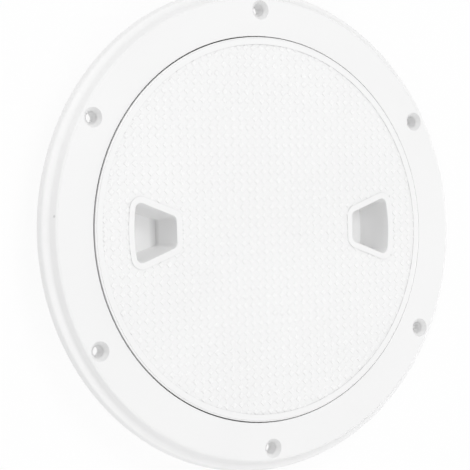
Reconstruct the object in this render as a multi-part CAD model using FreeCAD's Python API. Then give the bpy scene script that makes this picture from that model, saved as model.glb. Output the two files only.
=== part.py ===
import FreeCAD, Part
import math
import os

# Round screw-in deck inspection plate, in millimetres.
# The origin is on the plate's axis, level with the deck. +Z points out of the deck, and the two finger
# pockets of the lid lie along X. A ring is screwed to the deck, a lid screws into the ring, and a rubber
# ring between them keeps the water out. The coarse thread runs in the room between skirt and collar.

# Ring: plan sizes, from the bore outwards
BORE_RADIUS = 101.75           # edge of the opening that the lid fills
SCREW_OFFSET = 13.85           # bore to the circle of screw holes
SCREW_MARGIN = 6.4             # screw circle to the top of the rim's steep wall
SHOULDER_RUN = 1.4             # how far that wall leans out
LIP_WIDTH = 3.7                # low lip outside it
LIP_LEAN = 1.0                 # how far the lip's edge leans out
SCREW_COUNT = 6
SCREW_FIRST_ANGLE = 30.0       # degrees from the finger pockets' line
SCREW_HOLE_RADIUS = 2.75
COUNTERSINK_RADIUS = 5.1
COUNTERSINK_ANGLE = 82.0       # full angle of the cone, in degrees
SCREW_BOSS_WALL = 3.2          # plastic round a screw hole, under the flange

# Ring: heights
FLANGE_HEIGHT = 9.0            # flat top above the deck
LIP_HEIGHT = 3.9               # at the foot of the steep wall
LIP_SLOPE = 0.7                # fall of the lip towards its edge
COLLAR_STANDOFF = 7.0          # collar's end below the lid's lowest point

# Ring: walls and edges
RING_WALL = 2.6
COLLAR_WALL = 3.2
SHOULDER_CHAMFER = 1.0
LIP_CHAMFER = 0.8
COVE = 1.2                     # where the lip meets the steep wall
BORE_CHAMFER = 0.25
RING_RIBS_PER_GAP = 2          # ribs under the flange between two screw bosses
RING_RIB_THICKNESS = 1.8
RING_RIB_SETBACK = 0.8         # ribs end this far above the deck

# Lid: plan sizes
SEAM_GAP = 0.55                # lid's edge to the ring's bore
EDGE_STEP_WIDTH = 0.85         # low step round the lid's edge
PLAIN_RIM_WIDTH = 3.85         # from the lid's edge to the anti-slip field

# Lid: heights, walls and edges
LID_STAND = 1.1                # lid's rim above the flange
EDGE_STEP = 0.3                # step round the lid's edge, below the rim
EDGE_FALL = 0.35               # slope of that step towards the gap
FIELD_DEPTH = 0.5              # anti-slip field below the rim
RIM_THICKNESS = 2.7
PLATE_THICKNESS = 3.0
NECK_DEPTH = 1.6               # plain neck below the seal seat
THREAD_ROOM = 2.4              # skirt to collar, for the thread
SKIRT_LENGTH = 15.3            # below the neck
SKIRT_WALL = 2.6

# Finger pockets
POCKET_INSET = 22.4            # bore's edge to the pocket's outer side
POCKET_LENGTH = 24.25          # along the radius
POCKET_INNER_WIDTH = 15.2      # at the end nearest to the axis
POCKET_FLARE = 20.4            # degrees that each side leans from the radius
POCKET_INNER_DEPTH = 19.6      # below the lid's rim
POCKET_OUTER_DEPTH = 23.5
POCKET_DRAFT = 5.0             # degrees
POCKET_FOOT_ROUND = 0.9        # corners of its outline at the deepest point
POCKET_WALL = 2.4
POCKET_BORDER = 3.3            # plain border on the top
POCKET_CHAMFER = 0.4           # mouth
POCKET_COUNT = 2

# Lid: ribs underneath
LID_RIB_STEP = 45.0            # degrees
LID_RIB_THICKNESS = 2.0
LID_RIB_DEPTH = 6.0
HUB_RADIUS = 18.0

# Seal
SEAT_WIDTH = 3.75
SEAL_HEIGHT = 3.0              # pressed between lid and seat
SEAL_NECK_GAP = 0.3
SEAL_BORE_GAP = 0.4
NECK_GAP = 0.5                 # neck to the seat's inner edge

# Derived plan sizes
screw_circle = BORE_RADIUS + SCREW_OFFSET
shoulder_top = screw_circle + SCREW_MARGIN
shoulder_foot = shoulder_top + SHOULDER_RUN
lip_edge = shoulder_foot + LIP_WIDTH
flange_radius = lip_edge + LIP_LEAN
collar_bore = BORE_RADIUS - SEAT_WIDTH
collar_radius = collar_bore + COLLAR_WALL
lid_radius = BORE_RADIUS - SEAM_GAP
rim_radius = lid_radius - EDGE_STEP_WIDTH
field_radius = lid_radius - PLAIN_RIM_WIDTH
neck_radius = collar_bore - NECK_GAP
skirt_radius = collar_bore - THREAD_ROOM
skirt_bore = skirt_radius - SKIRT_WALL
pocket_outer = BORE_RADIUS - POCKET_INSET
pocket_inner = pocket_outer - POCKET_LENGTH

# Derived heights
lid_top = FLANGE_HEIGHT + LID_STAND
field_top = lid_top - FIELD_DEPTH
plate_bottom = field_top - PLATE_THICKNESS
rim_bottom = lid_top - RIM_THICKNESS
seat_top = rim_bottom - SEAL_HEIGHT
neck_bottom = seat_top - NECK_DEPTH
skirt_bottom = neck_bottom - SKIRT_LENGTH
pocket_bottom = lid_top - POCKET_OUTER_DEPTH - POCKET_WALL
collar_bottom = min(pocket_bottom, skirt_bottom) - COLLAR_STANDOFF
channel_top = FLANGE_HEIGHT - RING_WALL

# Past a face, so that a cut leaves no skin
OVER = 1.0
# Into a wall, so that two shapes fuse
BITE = 0.6

UP = FreeCAD.Vector(0, 0, 1)
CENTRE = FreeCAD.Vector(0, 0, 0)


def unit(a, b):
    length = math.hypot(a, b)
    return a / length, b / length


def turned(corners):
    """Solid of revolution about Z from (radius, height, chamfer) corners."""
    points = []
    for i, (radius, height, chamfer) in enumerate(corners):
        before, after = corners[i - 1], corners[(i + 1) % len(corners)]
        u = unit(before[0] - radius, before[1] - height)
        v = unit(after[0] - radius, after[1] - height)
        points.append((radius + u[0] * chamfer, height + u[1] * chamfer))
        if chamfer:
            points.append((radius + v[0] * chamfer, height + v[1] * chamfer))
    section = Part.makePolygon([FreeCAD.Vector(r, 0, z) for r, z in points + points[:1]])
    return Part.Face(section).revolve(CENTRE, UP, 360)


def tube(inner, outer, low, high):
    foot = FreeCAD.Vector(0, 0, low)
    return Part.makeCylinder(outer, high - low, foot).cut(Part.makeCylinder(inner, high - low, foot))


def about_axis(shape, degrees):
    copy = shape.copy()
    copy.rotate(CENTRE, UP, degrees)
    return copy


def radial_rib(inner, outer, thickness, low, high, degrees):
    rib = Part.makeBox(outer - inner, thickness, high - low, FreeCAD.Vector(inner, -thickness / 2, low))
    return about_axis(rib, degrees)


def make_ring():
    body = turned([
        (collar_bore, collar_bottom, 0),
        (collar_radius, collar_bottom, 0),
        (collar_radius, 0, 0),
        (flange_radius, 0, 0),
        (lip_edge, LIP_HEIGHT - LIP_SLOPE, LIP_CHAMFER),
        (shoulder_foot, LIP_HEIGHT, COVE),
        (shoulder_top, FLANGE_HEIGHT, SHOULDER_CHAMFER),
        (BORE_RADIUS, FLANGE_HEIGHT, BORE_CHAMFER),
        (BORE_RADIUS, seat_top, 0),
        (collar_bore, seat_top, 0)])
    body = body.cut(flange_channel())
    for centre in screw_centres():
        body = body.cut(screw_cutter(centre))
    return body


def screw_centres():
    step = 360 / SCREW_COUNT
    angles = [math.radians(SCREW_FIRST_ANGLE + step * i) for i in range(SCREW_COUNT)]
    return [FreeCAD.Vector(screw_circle * math.cos(a), screw_circle * math.sin(a), 0) for a in angles]


def flange_channel():
    """Hollow under the flange, less the ribs and screw bosses that are left standing in it."""
    inner = BORE_RADIUS + RING_WALL
    channel = turned([
        (inner, -OVER, 0),
        (shoulder_foot - RING_WALL, -OVER, 0),
        (shoulder_top - RING_WALL, channel_top, 0),
        (inner, channel_top, 0)])
    step = 360 / SCREW_COUNT
    for i in range(SCREW_COUNT):
        for j in range(1, RING_RIBS_PER_GAP + 1):
            degrees = SCREW_FIRST_ANGLE + step * (i + j / (RING_RIBS_PER_GAP + 1))
            rib = radial_rib(BORE_RADIUS, flange_radius, RING_RIB_THICKNESS, RING_RIB_SETBACK,
                             FLANGE_HEIGHT, degrees)
            channel = channel.cut(rib)
    for centre in screw_centres():
        boss = Part.makeCylinder(SCREW_HOLE_RADIUS + SCREW_BOSS_WALL, FLANGE_HEIGHT, centre)
        channel = channel.cut(boss)
    return channel


def screw_cutter(centre):
    """Countersunk hole for a screw that goes down into the deck."""
    slope = math.tan(math.radians(COUNTERSINK_ANGLE / 2))
    depth = (COUNTERSINK_RADIUS - SCREW_HOLE_RADIUS) / slope
    hole = Part.makeCylinder(SCREW_HOLE_RADIUS, FLANGE_HEIGHT + 2 * OVER, centre - UP * OVER)
    cone = Part.makeCone(SCREW_HOLE_RADIUS, COUNTERSINK_RADIUS + OVER * slope, depth + OVER,
                         centre + UP * (FLANGE_HEIGHT - depth))
    return hole.fuse(cone)


def pocket_outline(height, grow):
    """Wedge outline of the finger pocket on +X: an arc about the plate's axis, two leaning sides and a
    short inner side, with rounded corners. Its draft narrows it with depth, and grow widens it."""
    draft = math.tan(math.radians(POCKET_DRAFT))
    spread = grow - (lid_top - height) * draft
    corner = POCKET_FOOT_ROUND + POCKET_OUTER_DEPTH * draft + spread
    outer = pocket_outer + spread
    inner = pocket_inner - spread
    sine = math.sin(math.radians(POCKET_FLARE))
    cosine = math.cos(math.radians(POCKET_FLARE))
    # Distance from the axis to the line on which the corners' centres lie, and along it to the outer one
    offset = POCKET_INNER_WIDTH / 2 * cosine - pocket_inner * sine + spread - corner
    along = math.sqrt((outer - corner) ** 2 - offset ** 2)
    outer_centre = (along * cosine - offset * sine, along * sine + offset * cosine)
    inner_centre = (inner + corner, (offset + (inner + corner) * sine) / cosine)
    side = (-sine, cosine)
    outwards = unit(*outer_centre)
    half = [
        from_centre(inner_centre, (-1, 0), corner),
        from_centre(inner_centre, unit(side[0] - 1, side[1]), corner),
        from_centre(inner_centre, side, corner),
        from_centre(outer_centre, side, corner),
        from_centre(outer_centre, unit(side[0] + outwards[0], side[1] + outwards[1]), corner),
        from_centre(outer_centre, outwards, corner)]
    upper = [FreeCAD.Vector(x, y, height) for x, y in half]
    lower = [FreeCAD.Vector(x, -y, height) for x, y in half]
    top = FreeCAD.Vector(outer, 0, height)
    return Part.Wire([
        Part.Arc(*upper[:3]).toShape(),
        Part.LineSegment(upper[2], upper[3]).toShape(),
        Part.Arc(*upper[3:]).toShape(),
        Part.Arc(upper[5], top, lower[5]).toShape(),
        Part.Arc(*reversed(lower[3:])).toShape(),
        Part.LineSegment(lower[3], lower[2]).toShape(),
        Part.Arc(*reversed(lower[:3])).toShape(),
        Part.LineSegment(lower[0], upper[0]).toShape()])


def from_centre(centre, direction, distance):
    return centre[0] + direction[0] * distance, centre[1] + direction[1] * distance


def pocket_block(grow, mouth):
    """Drafted finger pocket on +X, from height mouth down to its sloping floor, grown on all sides."""
    inner_floor = lid_top - POCKET_INNER_DEPTH - grow
    outer_floor = lid_top - POCKET_OUTER_DEPTH - grow
    fall = (outer_floor - inner_floor) / POCKET_LENGTH
    ends = (pocket_inner - grow - OVER, pocket_outer + grow + OVER)
    floor = [inner_floor + fall * (x - pocket_inner) for x in ends]
    wedge = Part.makeLoft([pocket_outline(mouth, grow), pocket_outline(min(floor), grow)], True, True)
    side = Part.makePolygon([
        FreeCAD.Vector(ends[0], -BORE_RADIUS, floor[0]),
        FreeCAD.Vector(ends[1], -BORE_RADIUS, floor[1]),
        FreeCAD.Vector(ends[1], -BORE_RADIUS, mouth),
        FreeCAD.Vector(ends[0], -BORE_RADIUS, mouth),
        FreeCAD.Vector(ends[0], -BORE_RADIUS, floor[0])])
    above_floor = Part.Face(side).extrude(FreeCAD.Vector(0, 2 * BORE_RADIUS, 0))
    return wedge.common(above_floor)


def pocket_hollow():
    """What is cut from the lid for one finger pocket, with the chamfer of its mouth."""
    chamfer = Part.makeLoft([pocket_outline(lid_top - POCKET_CHAMFER, 0),
                             pocket_outline(lid_top + OVER, POCKET_CHAMFER + OVER)], True, True)
    return pocket_block(0, lid_top).fuse(chamfer)


def pocket_border():
    low = pocket_outline(field_top - BITE, POCKET_BORDER)
    high = pocket_outline(lid_top, POCKET_BORDER)
    return Part.makeLoft([low, high], True, True)


def at_both_pockets(shape):
    return [about_axis(shape, 360 * i / POCKET_COUNT) for i in range(POCKET_COUNT)]


def lid_ribs():
    low = plate_bottom - LID_RIB_DEPTH
    high = plate_bottom + BITE
    ribs = [tube(HUB_RADIUS - LID_RIB_THICKNESS, HUB_RADIUS, low, high)]
    start = HUB_RADIUS - LID_RIB_THICKNESS / 2
    for i in range(round(360 / LID_RIB_STEP)):
        degrees = LID_RIB_STEP * i
        meets_pocket = degrees % (360 / POCKET_COUNT) < OVER
        end = pocket_inner if meets_pocket else skirt_bore + BITE
        ribs.append(radial_rib(start, end, LID_RIB_THICKNESS, low, high, degrees))
    return ribs


def make_lid():
    body = turned([
        (0, field_top, 0),
        (field_radius, field_top, 0),
        (field_radius, lid_top, 0),
        (rim_radius, lid_top, 0),
        (rim_radius, lid_top - EDGE_STEP, 0),
        (lid_radius, lid_top - EDGE_STEP - EDGE_FALL, 0),
        (lid_radius, rim_bottom, 0),
        (neck_radius, rim_bottom, 0),
        (neck_radius, neck_bottom, 0),
        (skirt_radius, neck_bottom, 0),
        (skirt_radius, skirt_bottom, 0),
        (skirt_bore, skirt_bottom, 0),
        (skirt_bore, plate_bottom, 0),
        (0, plate_bottom, 0)])
    cup = pocket_block(POCKET_WALL, plate_bottom + BITE)
    body = body.fuse(at_both_pockets(pocket_border()) + at_both_pockets(cup) + lid_ribs())
    body = body.cut(at_both_pockets(pocket_hollow()))
    return body.removeSplitter()


def make_seal():
    return tube(neck_radius + SEAL_NECK_GAP, BORE_RADIUS - SEAL_BORE_GAP, seat_top, rim_bottom)


def save(shape, name):
    solids = shape.Solids
    if len(solids) != 1 or not shape.isValid():
        raise ValueError(name + " is not one closed solid")
    solids[0].exportStep("parts/" + name + ".step")
    print(name, round(solids[0].Volume / 1000, 1), "cm3")


os.makedirs("parts", exist_ok=True)
save(make_ring(), "deck_ring")
save(make_lid(), "lid")
save(make_seal(), "seal_ring")
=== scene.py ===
import bpy
import math
from mathutils import Matrix, Vector


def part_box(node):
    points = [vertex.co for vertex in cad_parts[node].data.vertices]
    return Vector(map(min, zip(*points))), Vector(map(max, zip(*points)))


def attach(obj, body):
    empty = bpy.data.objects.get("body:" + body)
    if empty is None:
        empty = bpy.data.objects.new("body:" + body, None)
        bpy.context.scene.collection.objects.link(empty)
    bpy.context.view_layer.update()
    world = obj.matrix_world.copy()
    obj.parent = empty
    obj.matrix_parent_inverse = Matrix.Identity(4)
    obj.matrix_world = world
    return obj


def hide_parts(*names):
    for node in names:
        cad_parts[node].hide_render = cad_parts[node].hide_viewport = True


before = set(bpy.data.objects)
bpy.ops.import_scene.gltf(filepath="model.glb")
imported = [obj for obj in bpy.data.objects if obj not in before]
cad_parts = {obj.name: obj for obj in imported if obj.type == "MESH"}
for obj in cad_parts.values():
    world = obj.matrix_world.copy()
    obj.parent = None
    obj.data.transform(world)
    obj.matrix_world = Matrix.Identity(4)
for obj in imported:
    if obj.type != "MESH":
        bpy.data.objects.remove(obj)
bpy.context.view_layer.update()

# Every size is in metres, in the frame of the deck plate: origin on its axis, level with the deck, +Z out
# of the deck, and the finger pockets along X.
MM = 0.001

ring_low, ring_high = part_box("deck_ring")
lid_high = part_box("lid")[1]

# Vertices closer than this are one
MERGE = 0.002 * MM

# Anti-slip field of the lid, and the blocks that trim its lozenges
FIELD_RADIUS = 97.35 * MM
FIELD_SINK = 0.5 * MM
TREAD_PITCH_X = 4.51 * MM
TREAD_PITCH_Y = 4.655 * MM
TREAD_SHIFT_X = -1.35 * MM
TREAD_SHIFT_Y = 2.3 * MM
TREAD_GAP = 0.02 * MM
TREAD_HEIGHT = 0.3 * MM
TREAD_FLANK = 0.55 * MM
TREAD_SOFTNESS = 0.15 * MM
TREAD_ROOT = FIELD_SINK / 2
SPARE_ROWS = 3
BLOCK_HEIGHT = 4 * FIELD_SINK
FIELD_BLOCK_SIDES = 256

# Finger pocket, as seen from above, and the inner corner of its floor, along which shade is painted
POCKET_OUTER = 79.35 * MM
POCKET_INNER = 55.1 * MM
POCKET_INNER_WIDTH = 15.2 * MM
POCKET_FLARE = math.radians(20.4)
POCKET_BORDER = 3.3 * MM
POCKET_CREASE_X = 56.8 * MM
POCKET_CREASE_Z = -9.5 * MM
CREASE_REACH = 3.6 * MM
CREASE_SHADE = 0.8

# Coarse thread between the lid's skirt and the ring's collar
PITCH = 6.0 * MM
THREAD_HEIGHT = 1.8 * MM
THREAD_ROOT = 3.29 * MM
THREAD_CREST = 1.91 * MM
COLLAR_BORE = 98.0 * MM
SKIRT_RADIUS = 95.6 * MM
RING_THREAD_START = -11.85 * MM
RING_THREAD_TURNS = 2.0
LID_THREAD_TURNS = 1.5
WALL_BITE = 0.4 * MM
THREAD_STEPS_PER_TURN = 72
THREAD_FADE_STEPS = 4
THREAD_EDGE_ANGLE = math.radians(25)

# Edges of the mouldings: steps under FLAT_ANGLE are one face, and steps over EDGE_ANGLE stay sharp
FLAT_ANGLE = math.radians(0.3)
EDGE_ANGLE = math.radians(47)

# Screw holes, whose countersinks carry painted shade that is strongest on the side given last, towards +X
SCREW_COUNT = 6
SCREW_FIRST_ANGLE = math.radians(30)
SCREW_CIRCLE = 115.6 * MM
COUNTERSINK_RADIUS = 5.1 * MM
COUNTERSINK_DEPTH = 2.7 * MM
SEAT_PAINTED_SHADE = 0.14
SEAT_SHADED_SIDE = Vector((math.cos(math.radians(20)), math.sin(math.radians(20))))

# Painted shade in inner corners, in a band that ends FLUSH below the ring's face and FLUSH above the lid's
CORNER_REACH = 2.0 * MM
CORNER_SAMPLES = 8
CORNER_BAND = 0.8 * MM
FLUSH = 0.05 * MM
RING_CORNER_SHADE = 0.15
LID_CORNER_SHADE = 0.2
TREAD_CORNER_SHADE = 0.36

# Dark speck on the ring's steep wall
SPECK_PLACE = (-122.06 * MM, 9.4 * MM, 7.5 * MM)
SPECK_RADIUS = 1.0 * MM
SPECK_SHADE = 0.6

# Plastic, rubber and floor: darker and lighter colour, roughness, and noise as features per metre and detail
RING_GREYS = (0.895, 0.915)
RING_ROUGHNESS = 0.42
LID_GREYS = (0.9, 0.92)
TREAD_GREYS = (0.91, 0.93)
LID_ROUGHNESS = 0.4
ROUGHNESS_SPREAD = 0.06
PLASTIC_CLOUDS = (14.0, 3.0)
PLASTIC_PATCHES = (90.0, 4.0)
PLASTIC_GRAIN = (2600.0, 2.0)
GRAIN_STRENGTH = 0.12
GRAIN_DEPTH = 0.05 * MM
PLASTIC_IOR = 1.46
PLASTIC_SHINE = 0.4
RUBBER_CLOUDS = (120.0, 4.0)
RUBBER_COLOURS = ((0.018, 0.018, 0.019), (0.045, 0.045, 0.046))
RUBBER_ROUGHNESS = (0.55, 0.75)
FLOOR_CLOUDS = (3.0, 2.0)
FLOOR_GREYS = (0.9, 0.93)
FLOOR_ROUGHNESS = 0.9
TINT_SPAN = (0.3, 0.7)

# Studio: each softbox is named by the side it stands on, with its azimuth, elevation and watts
SOFTBOX_DISTANCE = 1.8
SOFTBOX_SIZE = 0.9
SOFTBOXES = (
    ("back", 90, 62, 11.2),
    ("front", 270, 62, 4.1),
    ("front_left", 225, 62, 4.3),
    ("right_low", 0, 8, 7.5),
    ("back_left_low", 135, 8, 4.3),
    ("front_low", 270, 8, 5.0))
ROOM_LIGHT = 0.445
FLOOR_GLOW = 0.93
FLOOR_SIZE = 8
FLOOR_DROP = 0.2 * MM

# Camera, from the outlines of the seam, the rim and the screw holes in the photograph
CAMERA_PLACE = (-0.4403, 0.0012, 0.6873)
CAMERA_RIGHT = (0.8496, -0.0297, 0.5267)
CAMERA_UP = (0.0276, 0.9995, 0.0117)
CAMERA_LENS = 117.49
CAMERA_SENSOR = 36


def active(name):
    """Name the object, and its mesh, that an operator has just added and left active."""
    piece = bpy.context.view_layer.objects.active
    piece.name = name
    piece.data.name = name
    return piece


def only(piece):
    bpy.ops.object.select_all(action="DESELECT")
    piece.select_set(True)
    bpy.context.view_layer.objects.active = piece


def apply_all(piece):
    only(piece)
    for modifier in list(piece.modifiers):
        bpy.ops.object.modifier_apply(modifier=modifier.name)


def settle(piece):
    """Put the piece's place into its mesh, so that its object stands at the origin."""
    only(piece)
    bpy.ops.object.transform_apply(location=True, rotation=True, scale=True)


def finish_normals(piece):
    only(piece)
    bpy.ops.object.mode_set(mode="EDIT")
    bpy.ops.mesh.select_all(action="SELECT")
    bpy.ops.mesh.remove_doubles(threshold=MERGE)
    bpy.ops.mesh.normals_make_consistent(inside=False)
    bpy.ops.object.mode_set(mode="OBJECT")


# Materials

def new_material(name):
    material = bpy.data.materials.new(name)
    material.use_nodes = True
    nodes = material.node_tree.nodes
    return material, nodes, material.node_tree.links, nodes["Principled BSDF"]


def grey_pair(greys):
    return [(grey, grey, grey) for grey in greys]


def object_noise(nodes, links, scale, detail):
    """Noise on the piece's own coordinates, with scale in features per metre."""
    coordinates = nodes.new("ShaderNodeTexCoord")
    noise = nodes.new("ShaderNodeTexNoise")
    noise.inputs["Scale"].default_value = scale
    noise.inputs["Detail"].default_value = detail
    links.new(coordinates.outputs["Object"], noise.inputs["Vector"])
    return noise.outputs["Fac"]


def map_range(nodes, links, source, low, high):
    spread = nodes.new("ShaderNodeMapRange")
    spread.inputs["To Min"].default_value = low
    spread.inputs["To Max"].default_value = high
    links.new(source, spread.inputs["Value"])
    return spread


def calculated(nodes, links, operation, *values):
    """Result of a math node whose inputs are numbers or the outputs of other nodes."""
    step = nodes.new("ShaderNodeMath")
    step.operation = operation
    for socket, value in zip(step.inputs, values):
        if isinstance(value, bpy.types.NodeSocket):
            links.new(value, socket)
        else:
            socket.default_value = value
    return step.outputs["Value"]


def tint(nodes, links, source, colours):
    ramp = nodes.new("ShaderNodeValToRGB")
    for element, position, colour in zip(ramp.color_ramp.elements, TINT_SPAN, colours):
        element.position = position
        element.color = (*colour, 1)
    links.new(source, ramp.inputs["Fac"])
    return ramp.outputs["Color"]


def scaled(nodes, links, colour, share):
    product = nodes.new("ShaderNodeVectorMath")
    product.operation = "SCALE"
    links.new(colour, product.inputs[0])
    links.new(share, product.inputs["Scale"])
    return product.outputs["Vector"]


def painted_corner_shade(nodes, links, colour, top, amount):
    """The colour with painted shade, a little darker in the inner corners of the band below a height."""
    openness = nodes.new("ShaderNodeAmbientOcclusion")
    openness.samples = CORNER_SAMPLES
    openness.inputs["Distance"].default_value = CORNER_REACH
    coordinates = nodes.new("ShaderNodeTexCoord")
    axes = nodes.new("ShaderNodeSeparateXYZ")
    links.new(coordinates.outputs["Object"], axes.inputs["Vector"])
    in_band = calculated(nodes, links, "COMPARE", axes.outputs["Z"], top - CORNER_BAND / 2, CORNER_BAND / 2)
    painted_shade = calculated(nodes, links, "MULTIPLY", in_band, amount)
    return scaled(nodes, links, colour, calculated(nodes, links, "POWER", openness.outputs["AO"], painted_shade))


def with_painted_seat_shade(nodes, links, colour):
    """The colour, darker by the painted shade that is stored on the countersinks."""
    stored = nodes.new("ShaderNodeAttribute")
    stored.attribute_name = "seat_painted_shade"
    return scaled(nodes, links, colour, calculated(nodes, links, "SUBTRACT", 1.0, stored.outputs["Fac"]))


def speck_and_shade_near(nodes, links, colour, place, reach, shade, mirrored):
    """The colour, darker near a place, for a dark speck and for painted shade along the pockets' creases. The
    place is a point, or with mirrored a line along Y and its mirror image across the YZ plane."""
    coordinates = nodes.new("ShaderNodeTexCoord")
    where = coordinates.outputs["Object"]
    if mirrored:
        axes = nodes.new("ShaderNodeSeparateXYZ")
        links.new(where, axes.inputs["Vector"])
        section = nodes.new("ShaderNodeCombineXYZ")
        links.new(calculated(nodes, links, "ABSOLUTE", axes.outputs["X"]), section.inputs["X"])
        links.new(axes.outputs["Z"], section.inputs["Z"])
        where = section.outputs["Vector"]
    away = nodes.new("ShaderNodeVectorMath")
    away.operation = "DISTANCE"
    away.inputs[1].default_value = place
    links.new(where, away.inputs[0])
    fade = map_range(nodes, links, away.outputs["Value"], shade, 1.0)
    fade.inputs["From Max"].default_value = reach
    return scaled(nodes, links, colour, fade.outputs["Result"])


def moulded_plastic(name, greys, roughness, shade_and_speck):
    """White moulded plastic: a faint cloudiness, uneven gloss and the fine grain of the mould. The last
    argument is a function that darkens the colour in some places: painted shade, and on the ring a dark
    speck."""
    material, nodes, links, shader = new_material(name)
    colour = tint(nodes, links, object_noise(nodes, links, *PLASTIC_CLOUDS), grey_pair(greys))
    links.new(shade_and_speck(nodes, links, colour), shader.inputs["Base Color"])
    gloss = map_range(nodes, links, object_noise(nodes, links, *PLASTIC_PATCHES),
                      roughness - ROUGHNESS_SPREAD, roughness + ROUGHNESS_SPREAD)
    links.new(gloss.outputs["Result"], shader.inputs["Roughness"])
    bump = nodes.new("ShaderNodeBump")
    bump.inputs["Strength"].default_value = GRAIN_STRENGTH
    bump.inputs["Distance"].default_value = GRAIN_DEPTH
    links.new(object_noise(nodes, links, *PLASTIC_GRAIN), bump.inputs["Height"])
    links.new(bump.outputs["Normal"], shader.inputs["Normal"])
    shader.inputs["IOR"].default_value = PLASTIC_IOR
    shader.inputs["Specular IOR Level"].default_value = PLASTIC_SHINE
    return material


def black_rubber():
    material, nodes, links, shader = new_material("black_rubber")
    cloud = object_noise(nodes, links, *RUBBER_CLOUDS)
    links.new(tint(nodes, links, cloud, RUBBER_COLOURS), shader.inputs["Base Color"])
    links.new(map_range(nodes, links, cloud, *RUBBER_ROUGHNESS).outputs["Result"], shader.inputs["Roughness"])
    return material


def ring_speck_and_painted_shade(nodes, links, colour):
    colour = speck_and_shade_near(nodes, links, colour, SPECK_PLACE, SPECK_RADIUS, SPECK_SHADE, mirrored=False)
    # Painted shade on the countersinks, strongest on their +X side
    colour = with_painted_seat_shade(nodes, links, colour)
    # Painted shade in the inner corners near the ring's face
    return painted_corner_shade(nodes, links, colour, ring_high[2] - FLUSH, RING_CORNER_SHADE)


def lid_painted_shade(nodes, links, colour):
    # Painted shade along the inner creases of both pockets
    place = (POCKET_CREASE_X, 0, POCKET_CREASE_Z)
    colour = speck_and_shade_near(nodes, links, colour, place, CREASE_REACH, CREASE_SHADE, mirrored=True)
    # Painted shade in the inner corners near the lid's face
    return painted_corner_shade(nodes, links, colour, lid_high[2] + FLUSH, LID_CORNER_SHADE)


def tread_painted_shade(nodes, links, colour):
    # Painted shade in the corners between the lozenges
    return painted_corner_shade(nodes, links, colour, lid_high[2] + FLUSH, TREAD_CORNER_SHADE)


ring_plastic = moulded_plastic("ring_plastic", RING_GREYS, RING_ROUGHNESS, ring_speck_and_painted_shade)
lid_plastic = moulded_plastic("lid_plastic", LID_GREYS, LID_ROUGHNESS, lid_painted_shade)
tread_plastic = moulded_plastic("tread_plastic", TREAD_GREYS, LID_ROUGHNESS, tread_painted_shade)
seal_rubber = black_rubber()


def finish_piece(piece, body, material):
    piece.data.materials.clear()
    piece.data.materials.append(material)
    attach(piece, body)


def finish_seal():
    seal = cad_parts["seal_ring"]
    seal.data.materials.clear()
    seal.data.materials.append(seal_rubber)


# Mouldings: the shapes of the solids, with edges that look as soft as moulded ones

def mould(node, name, body, material):
    """Copy of a solid whose narrow edge faces carry the shade over from one wide face to the next."""
    moulding = bpy.data.objects.new(name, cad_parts[node].data.copy())
    bpy.context.collection.objects.link(moulding)
    only(moulding)
    bpy.ops.mesh.customdata_custom_splitnormals_clear()
    bpy.ops.object.mode_set(mode="EDIT")
    bpy.ops.mesh.select_all(action="SELECT")
    bpy.ops.mesh.remove_doubles(threshold=MERGE)
    bpy.ops.mesh.dissolve_limited(angle_limit=FLAT_ANGLE, use_dissolve_boundaries=False)
    bpy.ops.object.mode_set(mode="OBJECT")
    bpy.ops.object.shade_smooth_by_angle(angle=EDGE_ANGLE)
    edges = moulding.modifiers.new("soft_edges", "WEIGHTED_NORMAL")
    edges.keep_sharp = True
    apply_all(moulding)
    finish_piece(moulding, body, material)
    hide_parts(node)
    return moulding


def paint_screw_seat_shade(moulding):
    """Store painted shade on the countersinks of the six holes, most on one side and none on the other."""
    painted_shade = moulding.data.attributes.new("seat_painted_shade", "FLOAT", "CORNER")
    vertices, loops = moulding.data.vertices, moulding.data.loops
    for face in moulding.data.polygons:
        if not ring_high[2] - COUNTERSINK_DEPTH < face.center.z < ring_high[2] - FLUSH:
            continue
        for i in range(SCREW_COUNT):
            angle = SCREW_FIRST_ANGLE + 2 * math.pi * i / SCREW_COUNT
            hole = SCREW_CIRCLE * Vector((math.cos(angle), math.sin(angle)))
            if (face.center.xy - hole).length > COUNTERSINK_RADIUS:
                continue
            for corner in face.loop_indices:
                side = (vertices[loops[corner].vertex_index].co.xy - hole).normalized()
                painted_shade.data[corner].value = SEAT_PAINTED_SHADE * (1 + side.dot(SEAT_SHADED_SIDE)) / 2


finish_seal()
# The ring's countersinks get painted shade
paint_screw_seat_shade(mould("deck_ring", "deck_ring_moulding", "ring", ring_plastic))
mould("lid", "lid_moulding", "lid", lid_plastic)


# Anti-slip field: raised lozenges in rows along X and Y, cut off by the plain rim and the pockets' borders

def pocket_border_block(side):
    """Block over one finger pocket and half of its border, for trimming the tread."""
    half_border = POCKET_BORDER / 2
    bpy.ops.mesh.primitive_plane_add(size=1)
    block = active("pocket_block")
    inner = POCKET_INNER - half_border
    outer = POCKET_OUTER + half_border
    inner_half = POCKET_INNER_WIDTH / 2 + half_border
    outer_half = inner_half + (outer - inner) * math.tan(POCKET_FLARE)
    for vertex in block.data.vertices:
        far = vertex.co.x > 0
        upper = vertex.co.y > 0
        half = outer_half if far else inner_half
        vertex.co = (side * (outer if far else inner), side * (half if upper else -half),
                     lid_high[2] - BLOCK_HEIGHT / 2)
    only(block)
    bpy.ops.object.mode_set(mode="EDIT")
    bpy.ops.mesh.select_all(action="SELECT")
    bpy.ops.mesh.extrude_region_move(TRANSFORM_OT_translate={"value": (0, 0, BLOCK_HEIGHT)})
    bpy.ops.mesh.select_all(action="SELECT")
    bpy.ops.mesh.normals_make_consistent(inside=False)
    bpy.ops.object.mode_set(mode="OBJECT")
    return block


def trim(piece, cutter, operation):
    cut = piece.modifiers.new("trim", "BOOLEAN")
    cut.operation = operation
    cut.solver = "EXACT"
    cut.object = cutter
    apply_all(piece)
    bpy.data.objects.remove(cutter, do_unlink=True)


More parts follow.
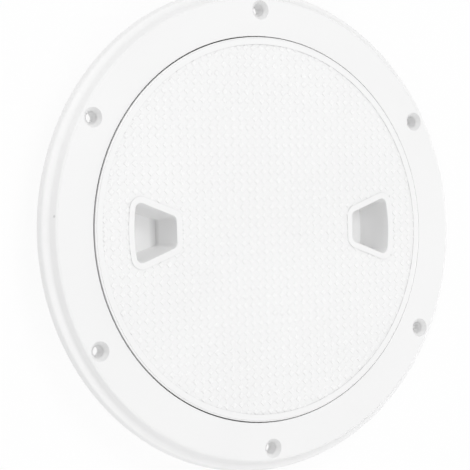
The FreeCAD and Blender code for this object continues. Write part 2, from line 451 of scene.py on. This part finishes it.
def make_tread():
    rows = 2 * math.ceil(FIELD_RADIUS / TREAD_PITCH_Y) + SPARE_ROWS
    columns = 2 * math.ceil(FIELD_RADIUS / TREAD_PITCH_X) + SPARE_ROWS
    corner = TREAD_PITCH_X / 2 - TREAD_GAP
    bpy.ops.object.select_all(action="DESELECT")
    bpy.ops.mesh.primitive_cone_add(vertices=4, radius1=corner, radius2=corner - TREAD_FLANK * math.sqrt(2),
                                    depth=TREAD_HEIGHT + TREAD_ROOT)
    tread = active("anti_slip_tread")
    bpy.ops.object.mode_set(mode="EDIT")
    bpy.ops.mesh.select_all(action="DESELECT")
    bpy.ops.object.mode_set(mode="OBJECT")
    for face in tread.data.polygons:
        face.select = face.normal.z > 0.9
    bpy.ops.object.mode_set(mode="EDIT")
    bpy.ops.mesh.bevel(offset=TREAD_SOFTNESS, segments=1, affect="EDGES")
    bpy.ops.object.mode_set(mode="OBJECT")
    stretch = (TREAD_PITCH_Y / 2 - TREAD_GAP) / corner
    tread.scale = (1, stretch, 1)
    tread.location = (TREAD_SHIFT_X - (columns - 1) / 2 * TREAD_PITCH_X,
                      TREAD_SHIFT_Y - (rows - 1) / 2 * TREAD_PITCH_Y,
                      lid_high[2] - FIELD_SINK + (TREAD_HEIGHT - TREAD_ROOT) / 2)
    settle(tread)
    for count, step in ((columns, (TREAD_PITCH_X, 0, 0)), (rows, (0, TREAD_PITCH_Y, 0))):
        array = tread.modifiers.new("row", "ARRAY")
        array.count = count
        array.use_relative_offset = False
        array.use_constant_offset = True
        array.constant_offset_displace = step
    apply_all(tread)
    bpy.ops.mesh.primitive_cylinder_add(vertices=FIELD_BLOCK_SIDES, radius=FIELD_RADIUS,
                                        depth=2 * BLOCK_HEIGHT, location=(0, 0, lid_high[2]))
    trim(tread, active("field_block"), "INTERSECT")
    for side in (1, -1):
        trim(tread, pocket_border_block(side), "DIFFERENCE")
    finish_piece(tread, "lid", tread_plastic)


make_tread()


# Coarse thread, one ridge on each moulding

def make_thread(name, body, root, crest, start, turns, material):
    """Right-hand ridge from a wall at radius root to radius crest, which dies out at both ends."""
    sink = math.copysign(WALL_BITE, root - crest)
    section = [(root + sink, -THREAD_ROOT / 2), (crest, -THREAD_CREST / 2),
               (crest, THREAD_CREST / 2), (root + sink, THREAD_ROOT / 2)]
    bpy.ops.object.select_all(action="DESELECT")
    bpy.ops.mesh.primitive_circle_add(vertices=4, fill_type="NOTHING")
    thread = active(name)
    for vertex, (radius, height) in zip(thread.data.vertices, section):
        vertex.co = (radius, 0, start + height)
    steps = round(THREAD_STEPS_PER_TURN * turns)
    sweep = thread.modifiers.new("sweep", "SCREW")
    sweep.axis = "Z"
    sweep.angle = 2 * math.pi * turns
    sweep.screw_offset = PITCH * turns
    sweep.steps = steps
    sweep.render_steps = steps
    sweep.use_smooth_shade = False
    apply_all(thread)
    for vertex in thread.data.vertices:
        step = vertex.index // len(section)
        share = min(1, step / THREAD_FADE_STEPS, (steps - step) / THREAD_FADE_STEPS)
        radius = math.hypot(vertex.co.x, vertex.co.y)
        lowered = root + sink + (radius - root - sink) * share
        vertex.co.x *= lowered / radius
        vertex.co.y *= lowered / radius
    only(thread)
    bpy.ops.object.mode_set(mode="EDIT")
    bpy.ops.mesh.select_all(action="SELECT")
    bpy.ops.mesh.fill_holes(sides=4)
    bpy.ops.object.mode_set(mode="OBJECT")
    finish_normals(thread)
    finish_piece(thread, body, material)
    bpy.ops.object.shade_smooth_by_angle(angle=THREAD_EDGE_ANGLE)


make_thread("ring_thread", "ring", COLLAR_BORE, COLLAR_BORE - THREAD_HEIGHT, RING_THREAD_START,
            RING_THREAD_TURNS, ring_plastic)
make_thread("lid_thread", "lid", SKIRT_RADIUS, SKIRT_RADIUS + THREAD_HEIGHT, RING_THREAD_START + PITCH / 2,
            LID_THREAD_TURNS, lid_plastic)


# Floor, light and camera

def make_floor():
    bpy.ops.object.select_all(action="DESELECT")
    bpy.ops.mesh.primitive_plane_add(size=FLOOR_SIZE, location=(0, 0, ring_low[2] - FLOOR_DROP))
    floor = active("floor")
    material, nodes, links, shader = new_material("white_floor")
    cloud = object_noise(nodes, links, *FLOOR_CLOUDS)
    links.new(tint(nodes, links, cloud, grey_pair(FLOOR_GREYS)), shader.inputs["Base Color"])
    shader.inputs["Roughness"].default_value = FLOOR_ROUGHNESS
    shader.inputs["Specular IOR Level"].default_value = 0.0
    glow = nodes.new("ShaderNodeEmission")
    path = nodes.new("ShaderNodeLightPath")
    seen = calculated(nodes, links, "MAXIMUM", path.outputs["Is Camera Ray"], path.outputs["Is Glossy Ray"])
    amount = calculated(nodes, links, "MULTIPLY", seen, FLOOR_GLOW)
    mix = nodes.new("ShaderNodeMixShader")
    links.new(amount, mix.inputs["Fac"])
    links.new(shader.outputs["BSDF"], mix.inputs[1])
    links.new(glow.outputs["Emission"], mix.inputs[2])
    links.new(mix.outputs["Shader"], nodes["Material Output"].inputs["Surface"])
    floor.data.materials.append(material)


def make_world():
    world = bpy.data.worlds.new("studio")
    bpy.context.scene.world = world
    world.use_nodes = True
    nodes, links = world.node_tree.nodes, world.node_tree.links
    background = nodes["Background"]
    background.inputs["Color"].default_value = (1, 1, 1, 1)
    path = nodes.new("ShaderNodeLightPath")
    strength = map_range(nodes, links, path.outputs["Is Camera Ray"], ROOM_LIGHT, 1.0)
    links.new(strength.outputs["Result"], background.inputs["Strength"])


def softbox(name, azimuth, elevation, watts):
    """Round lamp that looks at the plate's middle."""
    lamp = bpy.data.lights.new(name, "AREA")
    lamp.shape = "DISK"
    lamp.size = SOFTBOX_SIZE
    lamp.energy = watts
    light = bpy.data.objects.new(name, lamp)
    bpy.context.collection.objects.link(light)
    light.visible_camera = False
    around, up = math.radians(azimuth), math.radians(elevation)
    towards = Vector((math.cos(around) * math.cos(up), math.sin(around) * math.cos(up), math.sin(up)))
    light.location = SOFTBOX_DISTANCE * towards
    light.rotation_euler = (-towards).to_track_quat("-Z", "Y").to_euler()


def make_camera():
    data = bpy.data.cameras.new("camera")
    data.sensor_width = CAMERA_SENSOR
    data.lens = CAMERA_LENS
    camera = bpy.data.objects.new("camera", data)
    bpy.context.collection.objects.link(camera)
    right = Vector(CAMERA_RIGHT).normalized()
    up = Vector(CAMERA_UP).normalized()
    back = right.cross(up)
    place = Matrix((right, up, back)).transposed().to_4x4()
    place.translation = CAMERA_PLACE
    camera.matrix_world = place
    bpy.context.scene.camera = camera


make_floor()
make_world()
for side, azimuth, elevation, watts in SOFTBOXES:
    softbox(side, azimuth, elevation, watts)
make_camera()
bpy.context.scene.view_settings.view_transform = "Standard"
